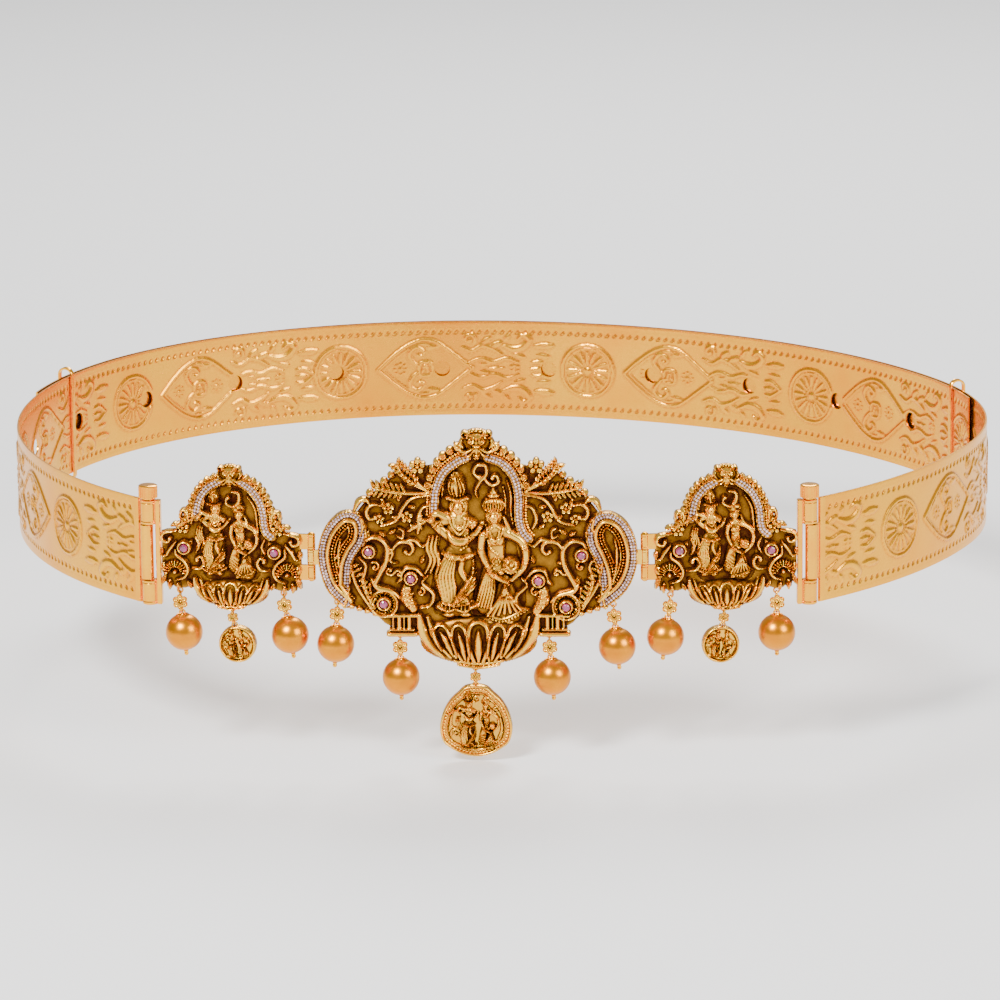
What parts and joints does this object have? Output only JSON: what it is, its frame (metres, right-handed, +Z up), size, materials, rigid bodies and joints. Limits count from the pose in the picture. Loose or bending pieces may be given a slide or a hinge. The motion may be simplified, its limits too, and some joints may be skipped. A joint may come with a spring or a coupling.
{
  "type": "oddiyanam waist belt",
  "caption": "Hinged gold waist belt with overlapping embossed bands, relief plaques, lift-out clasp pins, bead drops and a pear pendant.",
  "frame": {"origin": "centre of the waist opening, at half the bands' height", "axes": "+X to the right seen from the front, +Y from the plaques to the back of the waist, +Z up"},
  "size_m": [0.284, 0.2362, 0.0949],
  "materials": {
    "band_gold": "satin, embossed",
    "plain_gold": "polished",
    "antique_gold": "antique, dark in the recesses",
    "bead_gold": "satin",
    "ruby": "polished stone"
  },
  "bodies": {
    "bands": {"band_left": "band_gold", "band_right": "band_gold", "keeper_left": "plain_gold", "keeper_right": "plain_gold"},
    "clasp_pin_left": {"clasp_pin_left": "plain_gold"},
    "clasp_pin_right": {"clasp_pin_right": "plain_gold"},
    "side_left": {"motif_left": "antique_gold", "bead_left_1": "bead_gold", "bead_left_2": "bead_gold", "bead_pin_left_1": "antique_gold", "bead_pin_left_2": "antique_gold", "flower_link_left": "antique_gold", "flower_link_left_1": "antique_gold", "flower_link_left_2": "antique_gold", "medallion_left": "antique_gold", "ruby_left_1": "ruby", "ruby_left_2": "ruby"},
    "centre": {"motif_centre": "antique_gold", "bead_centre_1": "bead_gold", "bead_centre_2": "bead_gold", "bead_centre_3": "bead_gold", "bead_centre_4": "bead_gold", "bead_pin_centre_1": "antique_gold", "bead_pin_centre_2": "antique_gold", "bead_pin_centre_3": "antique_gold", "bead_pin_centre_4": "antique_gold", "flower_link_centre_1": "antique_gold", "flower_link_centre_2": "antique_gold", "flower_link_centre_3": "antique_gold", "flower_link_centre_4": "antique_gold", "ruby_centre_1": "ruby", "ruby_centre_2": "ruby", "ruby_centre_3": "ruby", "ruby_centre_4": "ruby", "ruby_centre_5": "ruby", "ruby_centre_6": "ruby", "hinge_pin_left": "plain_gold", "hinge_pin_right": "plain_gold"},
    "side_right": {"motif_right": "antique_gold", "bead_pin_right_1": "antique_gold", "bead_pin_right_2": "antique_gold", "bead_right_1": "bead_gold", "bead_right_2": "bead_gold", "flower_link_right": "antique_gold", "flower_link_right_1": "antique_gold", "flower_link_right_2": "antique_gold", "medallion_right": "antique_gold", "ruby_right_1": "ruby", "ruby_right_2": "ruby"},
    "pear_link": {"flower_link_pear": "antique_gold"},
    "pear": {"pear_drop": "antique_gold"}
  },
  "joints": [
    {"name": "clasp_hinge_left", "type": "hinge", "parent": "bands", "child": "side_left", "pos_m": [-0.09188, -0.10879, 0], "axis": [0, 0, 1], "range_deg": [-1.5, 1.5]},
    {"name": "plaque_hinge_left", "type": "hinge", "parent": "side_left", "child": "centre", "pos_m": [-0.04625, -0.11463, 0], "axis": [0, 0, 1], "range_deg": [-3, 3]},
    {"name": "plaque_hinge_right", "type": "hinge", "parent": "centre", "child": "side_right", "pos_m": [0.04625, -0.11463, 0], "axis": [0, 0, 1], "range_deg": [-3, 3]},
    {"name": "pin_lift_left", "type": "slide", "parent": "bands", "child": "clasp_pin_left", "axis": [0, 0, 1], "range_m": [0, 0.033]},
    {"name": "pin_lift_right", "type": "slide", "parent": "bands", "child": "clasp_pin_right", "axis": [0, 0, 1], "range_m": [0, 0.033]},
    {"name": "pear_link_swing", "type": "hinge", "parent": "centre", "child": "pear_link", "pos_m": [0, -0.11463, -0.03275], "axis": [1, 0, 0], "range_deg": [-45, 20]},
    {"name": "pear_swing", "type": "hinge", "parent": "pear_link", "child": "pear", "pos_m": [0, -0.11463, -0.03615], "axis": [1, 0, 0], "range_deg": [-30, 30]}
  ],
  "couplings": [
    {"joint": "plaque_hinge_left", "follows": "clasp_hinge_left", "ratio": -1.9866},
    {"joint": "plaque_hinge_right", "follows": "clasp_hinge_left", "ratio": 1.9866}
  ]
}
